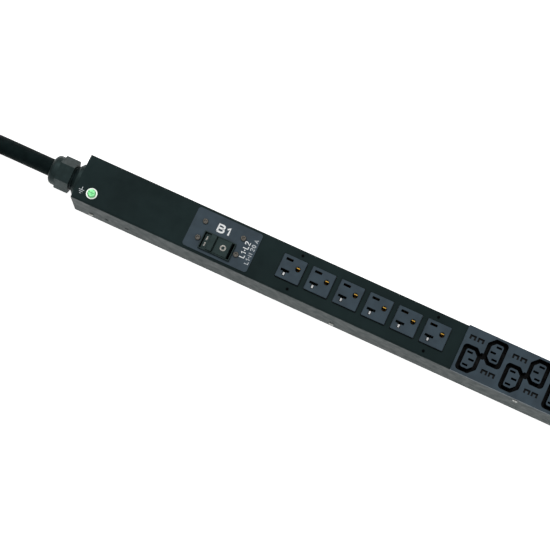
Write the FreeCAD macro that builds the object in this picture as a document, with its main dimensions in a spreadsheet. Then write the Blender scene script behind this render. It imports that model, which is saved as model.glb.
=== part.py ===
import FreeCAD
import Part
import math
import os
import Sketcher
from types import SimpleNamespace

from FreeCAD import Placement, Rotation, Vector

# A vertical-mount rack power strip lying on its back. +X runs along the strip from the wall where the
# cord enters, +Z is the way the sockets face, and the back face is at z = 0 with the strip's middle line
# on y = 0. Sizes are millimetres from the cord's wall; node() moves each finished sub-part so that the
# origin is the middle of the back face. Names that end in Tilt or Heading are degrees.

outletCount = 6
moduleCount = 2
pairsPerModule = 4

driving = {
    # Folded steel housing
    "stripLength": 886.1, "frontWidth": 50.8, "stripDepth": 50.0, "steelThick": 1.2, "foldRadius": 2.0,
    "slipGap": 0.1, "trayHeight": 24.0, "plateThick": 1.5, "tabLength": 26.0, "tabHeight": 16.0,
    # Side screws and bracket holes, from the cord end
    "sideScrewStart": 20.5, "sideScrewPitch": 281.7, "sideScrewLevel": 11.0, "sideScrewHole": 1.6,
    "bracketHoleStart": 39.5, "bracketHolePitch": 23.5, "bracketHoleLevel": 18.0, "bracketHoleRadius": 2.1,
    "moduleScrewStart": 508.3, "moduleScrewLevel": 43.0,
    "rearMountEdge": 43.0, "rearMountRadius": 2.5, "rearInsertDepth": 9.0,
    # Ground screw
    "groundX": 19.0, "groundY": -13.4, "groundHeadRadius": 4.5, "groundHeadHeight": 2.4,
    "groundWasherRadius": 6.0, "groundWasherThick": 0.8, "groundHole": 2.6,
    # Breaker plate and breaker
    "plateStart": 127.5, "plateLength": 73.9, "plateWidth": 44.6, "plateRise": 0.8, "plateCorner": 3.0,
    "plateScrewX": 140.0, "plateScrewPitchX": 43.8, "plateScrewY": 0.4, "plateScrewPitchY": 19.0,
    "bezelX": 162.05, "bezelY": -9.05, "bezelLength": 35.5, "bezelWidth": 19.9, "bezelTop": 53.2,
    "bezelWall": 0.9, "windowGap": 0.3, "polePitch": 19.05, "caseLength": 50.8, "caseWidth": 38.1,
    "caseBottom": 9.0, "caseSplit": 33.0, "caseWall": 3.0, "rockerPivot": 44.0, "rockerLength": 30.4,
    "rockerTilt": 8.0, "leafTilt": 4.0, "rockerGap": 0.4, "rockerPinRadius": 1.25, "runningGap": 0.05,
    "shaftLevel": 20.0, "shaftRadius": 2.5, "legLength": 12.0, "armLength": 16.0, "armWidth": 5.0,
    # 5-20R sockets
    "outletX": 242.75, "outletY": 1.0, "outletPitch": 32.68, "outletSide": 26.3, "outletRise": 2.5,
    "outletBottom": 26.0, "outletFace": 3.4, "outletWall": 1.5, "outletGap": 0.6, "bladeX": -5.44,
    "lineSlotY": 8.7, "neutralSlotY": -4.0, "slotLength": 8.0, "wideSlot": 9.5, "slotWidth": 2.8,
    "stemLength": 6.0, "groundPinX": 6.46, "groundPinY": 2.34, "groundPinRadius": 2.8,
    "rivetX": 247.5, "rivetPitchX": 154.3, "rivetY": 19.5, "rivetRadius": 1.5,
    # C13 sockets
    "bankStart": 434.2, "moduleLength": 191.4, "moduleWidth": 51.6, "moduleTop": 52.5, "moduleBottom": 30.0,
    "pairPitch": 47.85, "recessLength": 21.5, "recessWidth": 29.4, "recessChamfer": 7.0, "recessCorner": 4.4,
    "recessDepth": 16.0, "ringGap": 4.5, "coreChamfer": 4.3, "coreCorner": 2.2,
    "chamferRound": 2.6, "pinLength": 6.0,
    "pinWidth": 2.3, "pinSpacing": 7.0, "pinStep": 4.0, "lowerX": 13.75, "lowerY": -7.9, "upperX": 35.6,
    "upperY": 8.6, "pinShift": 1.95, "tabMark": 7.0, "tabMarkTall": 5.0, "tabMarkLine": 2.1,
    # Cord gland on the strip's axis
    "glandLevel": 25.0, "flangeRadius": 18.0, "flangeThick": 5.0, "neckRadius": 12.25, "capStart": -11.2,
    "capHexEnd": -27.2, "capEnd": -36.2, "capFlats": 32.0, "domeRadius": 16.2, "mouthRadius": 9.95,
    "threadRadius": 12.0, "boreRadius": 9.9,
    # Cord, coil and plug
    "cordDiameter": 19.4, "cordStart": -10.0, "coilX": -205.0, "coilInner": 90.0, "coilOuter": 109.6,
    "cordRest": 9.9, "layerRise": 19.6, "plugRadius": 28.5, "plugLength": 62.0,
    "plugHeading": -1.4, "bladeCircle": 14.0, "bladeLength": 15.0,
}

document = FreeCAD.newDocument("RackPowerStrip")
sheet = document.addObject("Spreadsheet::Sheet", "Sizes")
for row, (alias, number) in enumerate(driving.items(), start=1):
    sheet.set(f"A{row}", alias)
    sheet.set(f"B{row}", str(number))
    sheet.setAlias(f"B{row}", alias)
document.recompute()


class Size:
    """A number from the sheet together with the formula that keeps a feature bound to it."""

    def __init__(self, value, formula):
        self.value = value
        self.formula = formula

    def __add__(self, other):
        other = size(other)
        return Size(self.value + other.value, f"({self.formula} + {other.formula})")

    def __sub__(self, other):
        other = size(other)
        return Size(self.value - other.value, f"({self.formula} - {other.formula})")

    def __mul__(self, other):
        other = size(other)
        return Size(self.value * other.value, f"({self.formula} * {other.formula})")

    def __truediv__(self, other):
        other = size(other)
        return Size(self.value / other.value, f"({self.formula} / {other.formula})")

    def __neg__(self):
        return Size(-self.value, f"(0 - {self.formula})")

    def __rsub__(self, other):
        return size(other) - self

    __radd__ = __add__
    __rmul__ = __mul__


def size(value):
    return value if isinstance(value, Size) else Size(float(value), f"{float(value)}")


d = SimpleNamespace(**{alias: Size(float(sheet.get(alias)), f"Sizes.{alias}") for alias in driving})


# ---------- Building blocks ----------

quarterTurn = {
    "+z": Rotation(), "-z": Rotation(Vector(1, 0, 0), 180),
    "+x": Rotation(Vector(0, 1, 0), 90), "-x": Rotation(Vector(0, 1, 0), -90),
    "+y": Rotation(Vector(1, 0, 0), -90), "-y": Rotation(Vector(1, 0, 0), 90),
}


def bind(feature, path, value):
    feature.setExpression(path, size(value).formula)


def place(feature, at, way="+z"):
    """Turn a feature that was built along +z to face a row axis, and move it to a point of the sheet."""
    feature.Placement = Placement(Vector(), quarterTurn[way])
    for axis, value in zip("xyz", at):
        bind(feature, f"Placement.Base.{axis}", value)
    return feature


def box(name, low, high):
    block = document.addObject("Part::Box", name)
    for side, axis, start, end in zip(("Length", "Width", "Height"), "xyz", low, high):
        bind(block, side, size(end) - start)
        bind(block, f"Placement.Base.{axis}", start)
    return block


def rod(name, at, radius, length, way="+z"):
    bar = document.addObject("Part::Cylinder", name)
    bind(bar, "Radius", radius)
    bind(bar, "Height", length)
    return place(bar, at, way)


def fuse(name, pieces):
    whole = document.addObject("Part::MultiFuse", name)
    whole.Shapes = pieces
    whole.Refine = True
    return whole


def cut(name, base, tools):
    rest = document.addObject("Part::Cut", name)
    rest.Base = base
    rest.Tool = tools[0] if len(tools) == 1 else fuse(name + "Tools", tools)
    return rest


def group(name, pieces):
    """Identical separate solids that share one node."""
    whole = document.addObject("Part::Compound", name)
    whole.Links = pieces
    return whole


def origin(body, role):
    return next(item for item in body.Origin.OriginFeatures if item.Role == role)


def newBody(name):
    return document.addObject("PartDesign::Body", name)


def sketch(body, plane, offset=0):
    """A sketch on one of the body's own origin planes, moved along that plane's normal."""
    drawing = body.newObject("Sketcher::SketchObject", body.Name + "Sketch")
    drawing.AttachmentSupport = [(origin(body, plane + "_Plane"), "")]
    drawing.MapMode = "FlatFace"
    bind(drawing, "AttachmentOffset.Base.z", offset)
    return drawing


def pin(drawing, geometry, end, x, y):
    """Hold a point of the sketch at a place given by the sheet."""
    for kind, value in (("DistanceX", x), ("DistanceY", y)):
        value = size(value)
        held = drawing.addConstraint(Sketcher.Constraint(kind, -1, 1, geometry, end, value.value))
        bind(drawing, f"Constraints[{held}]", value)


def circle(drawing, x, y, radius):
    x, y, radius = size(x), size(y), size(radius)
    ring = drawing.addGeometry(Part.Circle(Vector(x.value, y.value, 0), Vector(0, 0, 1), radius.value))
    held = drawing.addConstraint(Sketcher.Constraint("Radius", ring, radius.value))
    bind(drawing, f"Constraints[{held}]", radius)
    pin(drawing, ring, 3, x, y)


def outline(drawing, corners, rounds=0):
    """A closed outline through the corners, each one sharp or rounded by its radius."""
    count = len(corners)
    rounds = [size(r) for r in (rounds if isinstance(rounds, list) else [rounds] * count)]
    corners = [(size(x), size(y)) for x, y in corners]
    at = [Vector(x.value, y.value, 0) for x, y in corners]
    arriving, leaving, centres = [], [], []
    for i, radius in enumerate(rounds):
        back = (at[i - 1] - at[i]).normalize()
        ahead = (at[(i + 1) % count] - at[i]).normalize()
        half = back.getAngle(ahead) / 2
        reach = radius.value / math.tan(half)
        arriving.append(at[i] + back * reach)
        leaving.append(at[i] + ahead * reach)
        centres.append(at[i] + (back + ahead).normalize() * (radius.value / math.sin(half)))
    lines = [
        drawing.addGeometry(Part.LineSegment(leaving[i], arriving[(i + 1) % count])) for i in range(count)
    ]
    for i, (x, y) in enumerate(corners):
        before, after = lines[i - 1], lines[i]
        corner = drawing.addGeometry(Part.Point(at[i]), True)
        pin(drawing, corner, 1, x, y)
        if rounds[i].value == 0:
            drawing.addConstraint([
                Sketcher.Constraint("Coincident", before, 2, corner, 1),
                Sketcher.Constraint("Coincident", after, 1, corner, 1),
            ])
            continue
        leftTurn = (at[i] - at[i - 1]).cross(at[(i + 1) % count] - at[i]).z > 0
        first, last = (arriving[i], leaving[i]) if leftTurn else (leaving[i], arriving[i])
        angles = [math.atan2(p.y - centres[i].y, p.x - centres[i].x) for p in (first, last)]
        round_ = Part.Circle(centres[i], Vector(0, 0, 1), rounds[i].value)
        arc = drawing.addGeometry(Part.ArcOfCircle(round_, angles[0], angles[1]))
        start, end = (1, 2) if leftTurn else (2, 1)
        drawing.addConstraint([
            Sketcher.Constraint("PointOnObject", corner, 1, before),
            Sketcher.Constraint("PointOnObject", corner, 1, after),
            Sketcher.Constraint("Tangent", before, 2, arc, start),
            Sketcher.Constraint("Tangent", arc, end, after, 1),
        ])
        held = drawing.addConstraint(Sketcher.Constraint("Radius", arc, rounds[i].value))
        bind(drawing, f"Constraints[{held}]", rounds[i])


def rectangle(drawing, x, y, width, height, rounds=0):
    """A rectangle about its middle."""
    left, right = size(x) - size(width) / 2, size(x) + size(width) / 2
    low, high = size(y) - size(height) / 2, size(y) + size(height) / 2
    outline(drawing, [(left, low), (right, low), (right, high), (left, high)], rounds)


def pad(body, drawing, length, both=False):
    solid = body.newObject("PartDesign::Pad", body.Name + "Pad")
    solid.Profile = drawing
    solid.SideType = "Symmetric" if both else "One side"
    bind(solid, "Length", length)
    return solid


def pocket(body, drawing, depth=None, both=False):
    """Cut away against the sketch's normal, to a depth or right through."""
    hollow = body.newObject("PartDesign::Pocket", body.Name + "Pocket")
    hollow.Profile = drawing
    hollow.SideType = "Symmetric" if both else "One side"
    if depth is None:
        hollow.Type = "ThroughAll"
    else:
        bind(hollow, "Length", depth)
    return hollow


def pocketAlong(body, drawing, depth):
    """Cut along the sketch's normal instead of against it."""
    hollow = pocket(body, drawing, depth)
    hollow.Reversed = True
    return hollow


def revolve(body, drawing, axis):
    turned = body.newObject("PartDesign::Revolution", body.Name + "Turned")
    turned.Profile = drawing
    turned.ReferenceAxis = (drawing, [axis])
    turned.Angle = 360
    return turned


def repeat(body, features, pitch, count):
    """Copies of features along the strip."""
    pattern = body.newObject("PartDesign::LinearPattern", body.Name + "Pattern")
    pattern.Originals = features
    pattern.Direction = (origin(body, "X_Axis"), [""])
    pattern.Occurrences = count
    bind(pattern, "Length", size(pitch) * (count - 1))
    body.Tip = pattern
    return pattern


nodes = {}


def node(name, feature):
    """The finished sub-part under the name of its file, with the origin at the strip's middle."""
    bound = {path.lstrip("."): formula for path, formula in feature.ExpressionEngine}
    fromWall = bound.get("Placement.Base.x", str(feature.Placement.Base.x))
    feature.setExpression("Placement.Base.x", f"({fromWall}) - Sizes.stripLength / 2")
    feature.Label = name
    nodes[name] = feature
    return feature


def screw(name, at, way, headRadius, headHeight, shankRadius, shankLength, recess="cross"):
    """A pan-head screw, its head's underside at the given point and its head facing the given way."""
    head = rod(name + "Head", (0, 0, 0), headRadius, headHeight)
    edge = document.addObject("Part::Fillet", name + "Round")
    edge.Base = head
    document.recompute()
    top = [i for i, e in enumerate(head.Shape.Edges, 1) if e.CenterOfMass.z > head.Shape.BoundBox.ZMax - 0.01]
    bevel = size(headHeight).value * 0.45
    edge.Edges = [(i, bevel, bevel) for i in top]
    shank = rod(name + "Shank", (0, 0, -size(shankLength)), shankRadius, shankLength)
    blank = fuse(name + "Blank", [edge, shank])
    half, deep = size(headRadius) * 0.16, size(headHeight) * 0.5
    above = size(headHeight) + 1
    if recess == "socket":
        tools = [rod(name + "Socket", (0, 0, size(headHeight) * 0.3), size(headRadius) * 0.55, headHeight)]
    else:
        reach = size(headRadius) * (0.58 if recess == "cross" else 1.2)
        tools = [box(name + "Slot", (-reach, -half, headHeight - deep), (reach, half, above))]
    if recess == "cross":
        tools.append(box(name + "Cross", (-half, -reach, headHeight - deep), (half, reach, above)))
    return place(cut(name, blank, tools), at, way)


def tube(name, points, diameter, tangentShare=0.45):
    """A round cord or wire: straight runs joined by tangent arcs, each as large as its runs allow."""
    points = [Vector(*point) for point in points]
    edges, radii, start = [], [], points[0]
    for before, corner, after in zip(points, points[1:], points[2:]):
        back, ahead = before - corner, after - corner
        reach = tangentShare * min(back.Length, ahead.Length)
        turn = math.pi - back.getAngle(ahead)
        radii.append(reach / math.tan(turn / 2))
        back.normalize()
        ahead.normalize()
        first, last = corner + back * reach, corner + ahead * reach
        inward = (back + ahead).normalize()
        centre = corner + inward * math.hypot(radii[-1], reach)
        edges.append(Part.LineSegment(start, first).toShape())
        edges.append(Part.Arc(first, centre - inward * radii[-1], last).toShape())
        start = last
    edges.append(Part.LineSegment(start, points[-1]).toShape())
    path = Part.Wire(edges)
    across = (points[1] - points[0]).normalize()
    ring = Part.Wire(Part.Circle(points[0], across, diameter / 2).toShape())
    swept = document.addObject("Part::Feature", name)
    swept.Shape = path.makePipeShell([ring], True, True)
    section = math.pi * diameter**2 / 4
    share = swept.Shape.Volume / (section * path.Length)
    if abs(share - 1) > 0.01:
        raise ValueError(f"{name} holds {share:.3f} of its section times its length")
    print(f"{name}: {path.Length:.0f} mm long, radii", ", ".join(f"{r:.0f}" for r in radii))
    return swept


# ---------- Driving lines that several pieces share ----------

halfWidth = d.frontWidth / 2
wallInside = halfWidth - d.steelThick
trayHalf = wallInside - d.slipGap
webUnder = d.stripDepth - d.steelThick
bankLength = d.moduleLength * moduleCount
sideScrewCount = 4
plateScrews = [
    (d.plateScrewX + d.plateScrewPitchX * i, d.plateScrewY + d.plateScrewPitchY * side / 2)
    for i in (0, 1) for side in (-1, 1)
]
rivets = [(d.rivetX + d.rivetPitchX * i, d.rivetY * side) for i in (0, 1) for side in (-1, 1)]
sideScrews = [d.sideScrewStart + d.sideScrewPitch * i for i in range(sideScrewCount)]
bracketHoles = [d.bracketHoleStart, d.bracketHoleStart + d.bracketHolePitch]
bracketHoles += [d.stripLength - x for x in bracketHoles]
moduleScrews = [d.moduleScrewStart + d.moduleLength * i for i in range(moduleCount)]


# ---------- Housing ----------

def housingChannel():
    """Front and both sides, folded from one sheet; the front is cut away for the bank of C13 sockets."""
    body = newBody("HousingChannel")
    profile = sketch(body, "YZ")
    outline(profile, [
        (-halfWidth, 0), (-halfWidth, d.stripDepth), (halfWidth, d.stripDepth), (halfWidth, 0),
        (wallInside, 0), (wallInside, webUnder), (-wallInside, webUnder), (-wallInside, 0),
    ], [0, d.foldRadius, d.foldRadius, 0, 0, d.foldRadius - d.steelThick, d.foldRadius - d.steelThick, 0])
    pad(body, profile, d.stripLength)

    front = sketch(body, "XY", d.stripDepth)
    rectangle(front, d.bezelX, d.bezelY, d.bezelLength + d.windowGap * 2, d.bezelWidth + d.windowGap * 2)
    circle(front, d.groundX, d.groundY, d.groundHole)
    for x, y in plateScrews:
        circle(front, x, y, 1.6)
    for x, y in rivets:
        circle(front, x, y, 1.4)
    pocket(body, front, d.steelThick * 2)

    bank = sketch(body, "XY", d.stripDepth)
    rectangle(bank, d.bankStart + bankLength / 2, 0, bankLength, d.frontWidth + 2)
    pocket(body, bank, d.foldRadius)

    window = sketch(body, "XY", d.stripDepth)
    rectangle(window, d.outletX, d.outletY, d.outletSide + d.outletGap * 2, d.outletSide + d.outletGap * 2)
    opening = pocket(body, window, d.steelThick * 2)
    repeat(body, [opening], d.outletPitch, outletCount)
    sideHoles(body)
    return node("housing_channel", body)


def sideHoles(body):
    """Holes through both walls for the side screws, the brackets and the modules' screws."""
    side = sketch(body, "XZ")
    for x in sideScrews:
        circle(side, x, d.sideScrewLevel, d.sideScrewHole)
    for x in bracketHoles:
        circle(side, x, d.bracketHoleLevel, d.bracketHoleRadius)
    if body.Name == "HousingChannel":
        for x in moduleScrews:
            circle(side, x, d.moduleScrewLevel, d.sideScrewHole)
    body.Tip = pocket(body, side, d.frontWidth + 10, both=True)


def backCover():
    """Shallow folded tray that closes the back, its walls inside the channel's."""
    body = newBody("BackCover")
    inner = trayHalf - d.steelThick
    profile = sketch(body, "YZ", d.plateThick + d.slipGap)
    outline(profile, [
        (-trayHalf, d.trayHeight), (-trayHalf, 0), (trayHalf, 0), (trayHalf, d.trayHeight),
        (inner, d.trayHeight), (inner, d.steelThick), (-inner, d.steelThick), (-inner, d.trayHeight),
    ], [0, d.foldRadius, d.foldRadius, 0, 0, d.foldRadius - d.steelThick, d.foldRadius - d.steelThick, 0])
    pad(body, profile, d.stripLength - (d.plateThick + d.slipGap) * 2)
    back = sketch(body, "XY", d.steelThick)
    for x in (d.rearMountEdge, d.stripLength - d.rearMountEdge):
        circle(back, x, 0, d.rearMountRadius)
    pocket(body, back, d.steelThick * 2, both=True)
    sideHoles(body)
    return node("back_cover", body)


def endPlate(name, holeRadius=None, turned=False):
    """End wall with two tabs that the first side screws hold; the far one is turned end for end."""
    body = newBody(name.title().replace("_", ""))
    tabOuter = trayHalf - d.steelThick - d.slipGap
    wall = sketch(body, "YZ")
    rectangle(wall, 0, webUnder / 2 - d.slipGap, trayHalf * 2, webUnder - d.slipGap * 2, 1.0)
    if holeRadius is not None:
        circle(wall, 0, d.glandLevel, holeRadius)
    pad(body, wall, d.plateThick)
    tabs = sketch(body, "XY", d.sideScrewLevel)
    for side in (-1, 1):
        middle = (tabOuter - d.steelThick / 2) * side
        rectangle(tabs, d.tabLength / 2 + 1, middle, d.tabLength + 1, d.steelThick)
    pad(body, tabs, d.tabHeight, both=True)
    holes = sketch(body, "XZ")
    circle(holes, d.sideScrewStart, d.sideScrewLevel, d.sideScrewHole)
    pocket(body, holes, d.frontWidth, both=True)
    if turned:
        body.Placement = Placement(Vector(), Rotation(Vector(0, 0, 1), 180))
        bind(body, "Placement.Base.x", d.stripLength)
    return node(name, body)


def housing():
    housingChannel()
    backCover()
    endPlate("cord_end_plate", d.threadRadius + d.slipGap)
    endPlate("far_end_plate", turned=True)

    screws = [
        screw(f"SideScrew{i}{way[0] == '+'}", (x, halfWidth * side, d.sideScrewLevel), way,
              2.75, 1.2, 1.5, 6.0)
        for i, x in enumerate(sideScrews) for side, way in ((-1, "-y"), (1, "+y"))
    ]
    node("side_screws", group("SideScrews", screws))
    screws = [
        screw(f"ModuleScrew{i}{way[0] == '+'}", (x, halfWidth * side, d.moduleScrewLevel), way,
              2.75, 1.2, 1.5, 5)
        for i, x in enumerate(moduleScrews) for side, way in ((-1, "-y"), (1, "+y"))
    ]
    node("module_screws", group("ModuleScrews", screws))

    inside = trayHalf - d.steelThick
    nuts = []
    for i, x in enumerate(bracketHoles):
        for side, way in ((-1, "+y"), (1, "-y")):
            barrel = rod(f"SideNut{i}{way[0]}", (0, 0, 0), 3.8, 3.4)
            bore = rod(f"SideBore{i}{way[0]}", (0, 0, -1), d.bracketHoleRadius, 6)
            nut = cut(f"SideInsert{i}{way[0] == '+'}", barrel, [bore])
            # The end plate's tabs lie between the tray's wall and anything further in, short of these holes.
            nuts.append(place(nut, (x, inside * side, d.bracketHoleLevel), way))
    node("side_inserts", group("SideInserts", nuts))

    nuts = []
    for i, x in enumerate((d.rearMountEdge, d.stripLength - d.rearMountEdge)):
        barrel = rod(f"RearNut{i}", (x, 0, d.steelThick), 5.0, d.rearInsertDepth - d.steelThick)
        bore = rod(f"RearBore{i}", (x, 0, 0), d.rearMountRadius, d.rearInsertDepth - 1)
        nuts.append(cut(f"RearInsert{i}", barrel, [bore]))
    node("rear_inserts", group("RearInserts", nuts))

    liner = box("InsulatingLiner", (205, -(inside - 1), d.steelThick + 0.1),
                (d.stripLength - 60, inside - 1, 1.8))
    node("insulating_liner", liner)


# ---------- Ground screw ----------

def groundScrew():
    seat = d.stripDepth
    washer = rod("GroundWasherBlank", (d.groundX, d.groundY, seat), d.groundWasherRadius, d.groundWasherThick)
    hole = rod("GroundWasherHole", (d.groundX, d.groundY, seat - 1), d.groundHole, 3)
    node("ground_washer", cut("GroundWasher", washer, [hole]))
    head = screw("GroundScrew", (d.groundX, d.groundY, seat + d.groundWasherThick), "+z",
                 d.groundHeadRadius, d.groundHeadHeight, 2.45, 7.4, recess="slot")
    node("ground_screw", head)
    body = newBody("GroundNut")
    hexagon = sketch(body, "XY")
    sixSides(hexagon, 8.0)
    circle(hexagon, 0, 0, 2.5)
    pad(body, hexagon, 4)
    place(body, (d.groundX, d.groundY, webUnder - 4))
    node("ground_nut", body)


def sixSides(drawing, flats):
    """A hexagon of a given width across its flats, about the sketch's origin, one flat up."""
    corner = size(flats) / 2 / math.cos(math.pi / 6)
    outline(drawing, [
        (corner * round(math.cos(math.radians(60 * i)), 9), corner * round(math.sin(math.radians(60 * i)), 9))
        for i in range(6)
    ])


# ---------- Breaker ----------

def breakerPlate():
    body = newBody("BreakerPlate")
    face = sketch(body, "XY", d.stripDepth)
    rectangle(face, d.plateStart + d.plateLength / 2, 0, d.plateLength, d.plateWidth, d.plateCorner)
    rectangle(face, d.bezelX, d.bezelY, d.bezelLength + d.windowGap * 2, d.bezelWidth + d.windowGap * 2, 0.5)
    for x, y in plateScrews:
        circle(face, x, y, 1.6)
    pad(body, face, d.plateRise)
    node("breaker_plate", body)
    screws = [
        screw(f"PlateScrew{i}", (x, y, d.stripDepth + d.plateRise), "+z", 3.0, 1.5, 1.5, 8, "socket")
        for i, (x, y) in enumerate(plateScrews)
    ]
    node("breaker_plate_screws", group("PlateScrews", screws))


caseMiddle = d.bezelY + d.polePitch / 2
poleYs = (d.bezelY, d.bezelY + d.polePitch)


def breakerCase():
    """Two-pole case split at caseSplit: a top with the raised frame, and a hollow base."""
    caseX, half = d.bezelX, d.caseLength / 2
    side = d.caseWidth / 2
    body = newBody("BreakerCase")
    block = sketch(body, "XY", d.caseSplit)
    rectangle(block, caseX, caseMiddle, half * 2, side * 2, 1.0)
    pad(body, block, webUnder - d.slipGap - d.caseSplit)
    frame = sketch(body, "XY", d.caseSplit)
    rectangle(frame, d.bezelX, d.bezelY, d.bezelLength, d.bezelWidth, 0.6)
    pad(body, frame, d.bezelTop - d.caseSplit)
    well = sketch(body, "XY", d.bezelTop)
    rectangle(well, d.bezelX, d.bezelY, d.bezelLength - d.bezelWall * 2, d.bezelWidth - d.bezelWall * 2)
    pocket(body, well, d.bezelTop - d.caseSplit + 1)
    holes = sketch(body, "XY", webUnder)
    for x, y in plateScrews:
        circle(holes, x, y, 1.6)
    pocket(body, holes, 8)
    pinHole = sketch(body, "XZ")
    circle(pinHole, d.bezelX, d.rockerPivot, d.rockerPinRadius)
    pocket(body, pinHole, 43, both=True)
    node("breaker_case", body)

    body = newBody("BreakerBase")
    block = sketch(body, "XY", d.caseBottom)
    rectangle(block, caseX, caseMiddle, half * 2, side * 2, 1.0)
    pad(body, block, d.caseSplit - d.caseBottom)
    hollow = sketch(body, "XY", d.caseSplit)
    rectangle(hollow, caseX, caseMiddle, (half - d.caseWall * 2) * 2, (side - d.caseWall / 2) * 2)
    pocket(body, hollow, d.caseSplit - d.caseBottom - d.caseWall)
    shaftHole = sketch(body, "XZ")
    circle(shaftHole, d.bezelX, d.shaftLevel, d.shaftRadius)
    pocket(body, shaftHole, 60, both=True)
    slots = sketch(body, "YZ", caseX - half - 1)
    for y in poleYs:
        rectangle(slots, y, fixedContactLevel + 0.75, d.armWidth + 0.6, 2.1)
    body.Tip = pocketAlong(body, slots, d.caseWall * 2 + 2)
    slots = sketch(body, "YZ", caseX + half - d.caseWall * 2 - 1)
    for y in poleYs:
        rectangle(slots, y, loadStripLevel, d.armWidth + 0.6, 2.1)
    body.Tip = pocketAlong(body, slots, d.caseWall * 2 + 2)
    node("breaker_base", body)


fixedContactLevel = size(24.6)
loadStripLevel = size(18.0)


def breakerRocker():
    """Two leaves that slope away from the pivot, a raised finger bar, and a leg with a round foot."""
    body = newBody("BreakerRocker")
    slope = math.tan(math.radians(d.leafTilt.value))
    half, crown = d.rockerLength / 2, d.bezelTop - d.rockerPivot
    barLeft, barRight, barRise = size(-8.15), size(-1.45), 3.2

    def leaf(x):
        return crown - abs(size(x).value) * slope

    profile = sketch(body, "XZ")
    outline(profile, [
        (-half, 1.2), (-3.2, -3.2), (3.2, -3.2), (half, 1.2), (half, leaf(half)), (0, crown),
        (barRight, leaf(barRight)), (barRight, leaf(barRight) + barRise), (barLeft, leaf(barLeft) + barRise),
        (barLeft, leaf(barLeft)), (-half, leaf(half)),
    ], [0.5, 0, 0, 0.5, 0.6, 0, 0, 0.6, 0.6, 0, 0.6])
    pad(body, profile, d.bezelWidth - d.bezelWall * 2 - d.rockerGap * 2, both=True)
    leg = sketch(body, "XZ")
    rectangle(leg, 0, -d.legLength / 2 - 1, 2.8, d.legLength - 2)
    pad(body, leg, 6, both=True)
    foot = sketch(body, "XZ")
    circle(foot, 0, -d.legLength, 1.5)
    pad(body, foot, 6, both=True)
    bore = sketch(body, "XZ")
    circle(bore, 0, 0, d.rockerPinRadius + d.runningGap)
    pocket(body, bore, 30, both=True)
    body.Placement = Placement(Vector(), Rotation(Vector(0, 1, 0), -d.rockerTilt.value))
    for axis, value in zip("xyz", (d.bezelX, d.bezelY, d.rockerPivot)):
        bind(body, f"Placement.Base.{axis}", value)
    node("breaker_rocker", body)
    axle = rod("RockerPin", (d.bezelX, d.bezelY - 11.4, d.rockerPivot), d.rockerPinRadius, 22.8, "+y")
    node("breaker_rocker_pin", axle)


def contactBridge():
    """Shaft with a fork that the rocker's foot moves, and the two copper arms that it carries."""
    ends = d.caseWidth / 2 - 0.3
    barrel = rod("ShaftBarrel", (0, -ends, 0), d.shaftRadius - d.runningGap, ends * 2, "+y")
    hub = box("ShaftHub", (-4, -9.525 - 3.2, -3), (4, -9.525 + 3.2, 3.4))
    prongs = [
        box(f"ShaftProng{side}", (side * 1.9 if side > 0 else -3.6, -9.525 - 3.2, 3.0),
            (3.6 if side > 0 else -1.9, -9.525 + 3.2, d.legLength + 1.0)) for side in (-1, 1)
    ]
    shaft = fuse("TripShaft", [barrel, hub, *prongs])
    arms = []
    for i, y in enumerate((-d.polePitch / 2, d.polePitch / 2)):
        low, high = y - d.armWidth / 2, y + d.armWidth / 2
        beam = box(f"ArmBeam{i}", (-d.armLength, low, -1), (-4.2 if i == 0 else -3.0, high, 1))
        tip = box(f"ArmTip{i}", (-d.armLength, low + 0.5, 0.9), (4 - d.armLength, high - 0.5, 2.2))
        arms.append(fuse(f"ContactArm{i}", [beam, tip]))
    pair = group("ContactArms", arms)
    for feature in (shaft, pair):
        feature.Placement = Placement(Vector(), Rotation(Vector(0, 1, 0), d.rockerTilt.value))
        for axis, value in zip("xyz", (d.bezelX, caseMiddle, d.shaftLevel)):
            bind(feature, f"Placement.Base.{axis}", value)
    node("breaker_trip_shaft", shaft)
    node("breaker_contact_arms", pair)


def breakerTerminals():
    line, load = [], []
    left, right = d.bezelX - d.caseLength / 2, d.bezelX + d.caseLength / 2
    for i, y in enumerate(poleYs):
        low, high = y - d.armWidth / 2, y + d.armWidth / 2
        strip = box(f"LineStrip{i}", (left - 8, low, fixedContactLevel),
                    (d.bezelX - 11, high, fixedContactLevel + 1.5))
        line.append(strip)
        load.append(box(f"LoadStrip{i}", (right - 10, low, loadStripLevel - 0.75),
                        (right + 8, high, loadStripLevel + 0.75)))
    node("breaker_line_terminals", group("LineTerminals", line))
    node("breaker_load_terminals", group("LoadTerminals", load))


# ---------- 5-20R sockets ----------

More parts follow.
